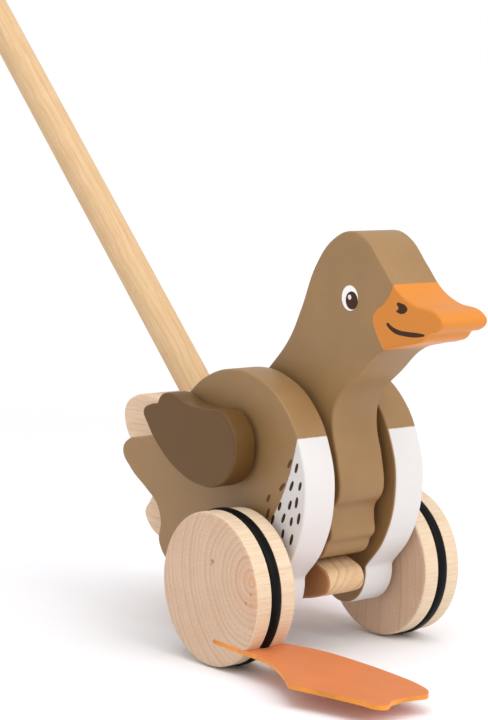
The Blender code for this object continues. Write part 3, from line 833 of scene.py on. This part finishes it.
for side, y, phase in (("right", -1, 0.0), ("left", 1, pi)):
    name = side + "_beech_wheel"
    face = (WHEEL_OUTER_Y - WHEEL_INNER_Y) / 2
    ring = face - RING_FROM_RIM
    groove_out, groove_in = ring + RING_HALF + GROOVE_PLAY, ring - RING_HALF - GROOVE_PLAY
    bore_end = AXLE_HALF + GAP - WHEEL_MIDDLE_Y
    profile = eased([
        (0, face, 0), (WHEEL_R, face, WHEEL_EDGE), (WHEEL_R, groove_out, 0.3),
        (GROOVE_R - GAP, groove_out, 0.2), (GROOVE_R - GAP, groove_in, 0.2),
        (WHEEL_R, groove_in, 0.3), (WHEEL_R, -face, WHEEL_EDGE),
        (AXLE_R + GAP, -face, 0.3), (AXLE_R + GAP, bore_end, 0.1), (0, bore_end, 0)])
    centre = spot(0, y * WHEEL_MIDDLE_Y, AXLE_Z)
    piece = link(name, turned(name, profile, centre, (0, y, 0), around=192))
    cut(piece, slot_cutter(phase, y))
    pith = PITHS[side]
    knots = [(x - pith[0], pith[2] - z, size) for x, z, size in KNOTS[side]]
    grained(piece,
            wood(side + " wheel face", pith, (-pi / 2, 0, 0), WHEEL_PALE, WHEEL_RING,
                 width=3.1, strength=0.42, drift=2.0, blush=0.9, knots=knots),
            wood(side + " wheel rim", pith, (-pi / 2, 0, 0), RIM_PALE, RIM_RING,
                 width=3.1, strength=0.2, drift=2.0))
    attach(piece, "wheels")
    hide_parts(side + "_wheel")


# Tread rings. A black rubber ring, moulded with a rounded tread, is stretched into each wheel's
# groove and cut away where the foot leaves the wheel. The tread rises on a flattened sine.
TREAD_R = 35.8
RING_SHOULDER = 34.5
RUBBER = (0.004, 0.004, 0.0042, 1)
RUBBER_BLOOM = (0.007, 0.007, 0.007, 1)


def rubber():
    """Smooth moulded rubber with a faint bloom."""
    made, shader, add, fill = new_material("black rubber")
    where = add("TexCoord").outputs["Object"]
    bloom = add("TexNoise", {"Vector": where, "Scale": 140.0, "Detail": 4.0})
    grit = add("TexNoise", {"Vector": where, "Scale": 3500.0, "Detail": 2.0})
    bloomed = smooth_step(add, bloom, 0.4, 0.75)
    fill(shader, {"Base Color": tinted(add, bloomed, RUBBER, RUBBER_BLOOM),
                  "Roughness": roughness(add, bloom, 0.34, 0.5),
                  "Specular IOR Level": 0.08,
                  "Normal": add("Bump", {"Height": grit, "Strength": 0.35, "Distance": 0.00004})})
    return made


black_rubber = rubber()
for side, y, phase in (("right", -1, 0.0), ("left", 1, pi)):
    name = side + "_rubber_ring"
    centre = spot(0, y * (WHEEL_OUTER_Y - RING_FROM_RIM), AXLE_Z)
    angle = np.linspace(0, pi, 25)
    rise = (TREAD_R - RING_SHOULDER) * np.sin(angle) ** 0.7
    tread = np.c_[RING_SHOULDER + rise, RING_HALF * np.cos(angle)]
    inside = GROOVE_R - 0.15
    profile = [(inside, RING_HALF), *tread.tolist(), (inside, -RING_HALF)]
    piece = link(name, turned(name, profile, centre, (0, y, 0), "ring", around=192))
    cut(piece, slot_cutter(phase, y))
    dress(piece, black_rubber)
    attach(piece, "wheels")
    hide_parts(side + "_tread_ring")


# Feet. Each is cut from one sheet of orange leather, dyed on its face, with a webbed front edge. Its
# narrow root is glued in the wheel's saw cut. Beside the body the left foot's inner part hangs down.
LEATHER = 2.0
TOE_X = 121.0
FOOT_OUTLINE = [
    (3.5, -10.95, SHARP), (24, -11, SHARP), (32, -14.4), (43, -18), (66, -21), (91, -21.2),
    (106, -19.4), (114.6, -16.2), (117.9, -12.1), (117.4, -7, SHARP), (116.7, 0), (117.9, 7.4, SHARP),
    (TOE_X, 13.2), (118.9, 15.8), (110, 17.4), (78.5, 25), (75.3, 26), (71.2, 23.9), (58.3, 17.2),
    (45.4, 12.4), (35, 11.1), (25, 11, SHARP), (3.5, 10.95, SHARP),
]
FOOT_CORNERS = ((3.5, -10.95), (117.2, -14.5), (120.4, 15), (3.5, 10.95))
TURNED_DOWN_FROM = 10.5
TURN_R = 2.2
STIFF_LONG = 5.0
LEATHER_TOP = srgb(214, 121, 60)
LEATHER_EDGE = srgb(228, 141, 44)


def evenly(path, count):
    """A number of points at even steps along a path."""
    run = np.r_[0, np.cumsum(np.linalg.norm(np.diff(path, axis=0), axis=1))]
    even = np.linspace(0, run[-1], count)
    return np.c_[np.interp(even, run, path[:, 0]), np.interp(even, run, path[:, 1])]


def foot_plan(long, wide):
    """A grid over the foot's plan, from its root to its toes and from the inner edge to the outer.

    It is a Coons patch: the sum of the surface ruled between the two sides and the surface ruled
    between root and toes, less the surface through the four corners."""
    loop = outline_curve(FOOT_OUTLINE, 0.25, 0.5)
    near = [int(np.argmin(np.linalg.norm(loop - np.array(c), axis=1))) for c in FOOT_CORNERS]
    loop = np.roll(loop, -near[0], 0)
    a, b, c = [(n - near[0]) % len(loop) for n in near[1:]]
    loop = np.vstack([loop, loop[:1]])
    inner, toes = evenly(loop[:a + 1], long), evenly(loop[a:b + 1], wide)
    outer, root = evenly(loop[b:c + 1][::-1], long), evenly(loop[c:][::-1], wide)
    s = np.linspace(0, 1, long)[:, None, None]
    t = np.linspace(0, 1, wide)[None, :, None]
    ruled = (1 - t) * inner[:, None] + t * outer[:, None] + (1 - s) * root[None] + s * toes[None]
    return ruled - ((1 - s) * (1 - t) * inner[0] + (1 - s) * t * outer[0]
                    + s * (1 - t) * inner[-1] + s * t * outer[-1])


def foot_mesh(name, y, phase):
    """The foot's sheet as a closed solid.

    Over the plan, the height is a sine across plus a sine along, both growing evenly from nothing
    just ahead of the slot's mouth to their full height at the toes. The top and the underside lie
    half the leather's thickness to either side, and a row of faces between their rims closes the
    cut edge. A foot with a phase is turned down past TURNED_DOWN_FROM: its skins follow quarter
    circles about one line, then run straight."""
    plan = foot_plan(96, 48)
    x, v = plan[..., 0], plan[..., 1]
    free = np.clip((x - SLOT_MOUTH_X - STIFF_LONG) / (TOE_X - SLOT_MOUTH_X - STIFF_LONG), 0, 1)
    wave = 0.3 * free * np.sin(v / 11 + 0.6) + 0.25 * free * np.sin(x / 15)
    skins = []
    for half in (LEATHER / 2, -LEATHER / 2):
        w = wave + half
        across, up = v.copy(), w
        if phase:
            over = np.maximum(-v - TURNED_DOWN_FROM, 0)
            bend = np.minimum(over / TURN_R, pi / 2)
            hang = np.maximum(over - TURN_R * pi / 2, 0)
            across = np.where(over > 0, -TURNED_DOWN_FROM - (TURN_R - w) * np.sin(bend), v)
            up = np.where(over > 0, TURN_R - (TURN_R - w) * np.cos(bend) + hang, w)
        ahead = x - SLOT_MOUTH_X
        px = SLOT_MOUTH_X + ahead * cos(FOOT_TILT) + up * sin(FOOT_TILT)
        pz = -SLOT_DROP - ahead * sin(FOOT_TILT) + up * cos(FOOT_TILT)
        skins.append(np.stack([AXLE_X + px * cos(phase) * MM, y * (WHEEL_MIDDLE_Y + across) * MM,
                               (AXLE_Z + pz * cos(phase)) * MM], -1))
    long, wide = x.shape
    index = np.arange(2 * long * wide).reshape(2, long, wide)
    sheets = [np.stack([k[:-1, :-1], k[1:, :-1], k[1:, 1:], k[:-1, 1:]], -1).reshape(-1, 4)
              for k in index]
    rim = [np.r_[k[:, 0], k[-1, 1:], k[-2::-1, -1], k[0, -2:0:-1]] for k in index]
    wall = np.stack([rim[0], np.roll(rim[0], -1), np.roll(rim[1], -1), rim[1]], -1)
    mesh = bpy.data.meshes.new(name)
    mesh.from_pydata(np.concatenate(skins).reshape(-1, 3).tolist(), [],
                     np.concatenate([*sheets, wall]).tolist())
    mesh.polygons.foreach_set("material_index", np.repeat(
        [0, 1], [len(sheets[0]) * 2, len(wall)]).astype(np.int32))
    closed(mesh)
    return mesh


def leather(name, colour, grain, cloudy):
    """Dyed leather: a fine pebble grain with creases between, cloudy dye and a soft low shine."""
    made, shader, add, fill = new_material(name)
    where = add("TexCoord").outputs["Object"]
    pebble = add("TexVoronoi", {"Vector": where, "Scale": grain, "Randomness": 0.9},
                 feature="SMOOTH_F1")
    fine = add("TexNoise", {"Vector": where, "Scale": grain * 2.2, "Detail": 3.0})
    dye = add("TexNoise", {"Vector": where, "Scale": 60.0, "Detail": 5.0})
    dark, light = toned(colour, 1 - cloudy), toned(colour, 1 + cloudy * 0.8)
    body = tinted(add, smooth_step(add, dye, 0.3, 0.7), dark, light)
    body = tinted(add, both(add, smooth_step(add, fine, 0.45, 0.8), 0.35), body, dark)
    height = both(add, both(add, pebble, -0.6), both(add, fine, 0.5), "ADD")
    fill(shader, {"Base Color": body, "Roughness": roughness(add, fine, 0.44, 0.62),
                  "Sheen Weight": 0.08, "Specular IOR Level": 0.4,
                  "Normal": add("Bump", {"Height": height, "Strength": 0.5, "Distance": 0.00012})})
    return made


face_leather = leather("orange leather", LEATHER_TOP, 1300.0, 0.06)
cut_leather = leather("cut edge of the leather", LEATHER_EDGE, 1900.0, 0.34)
for side, y, phase in (("right", -1, 0.0), ("left", 1, pi)):
    name = side + "_leather_foot"
    foot = link(name, foot_mesh(name, y, phase), face_leather, cut_leather)
    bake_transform(foot)
    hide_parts(side + "_foot")


# Wings. Thick dark brown boards shaped like a folded wing. Each stands a little off the body's side
# and turns on a pin in it.
WING_INNER_Y, WING_OUTER_Y = 38.0, 50.0
WING_EDGE = 1.2
WING_BORE_DEPTH = 8.0
WING_BROWN = srgb(100, 70, 33)
WING_OUTLINE = [
    (-66, 109.6), (-61, 112.7), (-54.6, 113.8, SHARP), (-52, 117.8), (-45.5, 119.5), (-32.3, 115.7),
    (-18, 114.6), (-5.5, 114.4), (2.8, 107.6), (5.2, 97.6), (0.6, 86), (-9.6, 79.9), (-22, 79),
    (-36.3, 82.5), (-52.1, 91.9), (-63, 103.6),
]

wing_paint = painted("wing paint", WING_BROWN, shine=0.24)[0]
for side, y in (("right", -1), ("left", 1)):
    name = side + "_painted_wing"
    wing = link(name, board(name, WING_OUTLINE, y * WING_INNER_Y, y * WING_OUTER_Y, WING_EDGE))
    cut(wing, bore(WING_PIVOT, WING_PIN_R + RUNNING, y * (WING_INNER_Y - 3),
                   y * (WING_INNER_Y + WING_BORE_DEPTH)))
    dress(wing, wing_paint)
    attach(wing, side + "_wing")
    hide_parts(side + "_wing")


# Dowels, pins, washers and axle. Plain bought beech rod and rings, with the grain along the rod.
# Little of them shows, so their solids serve as they are.
rod_beech = wood("rod beech", (0, 0, AXLE_Z + 9), (-pi / 2, 0, 0), width=2.2)
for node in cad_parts.values():
    if not node.hide_render:
        dress(node, rod_beech)
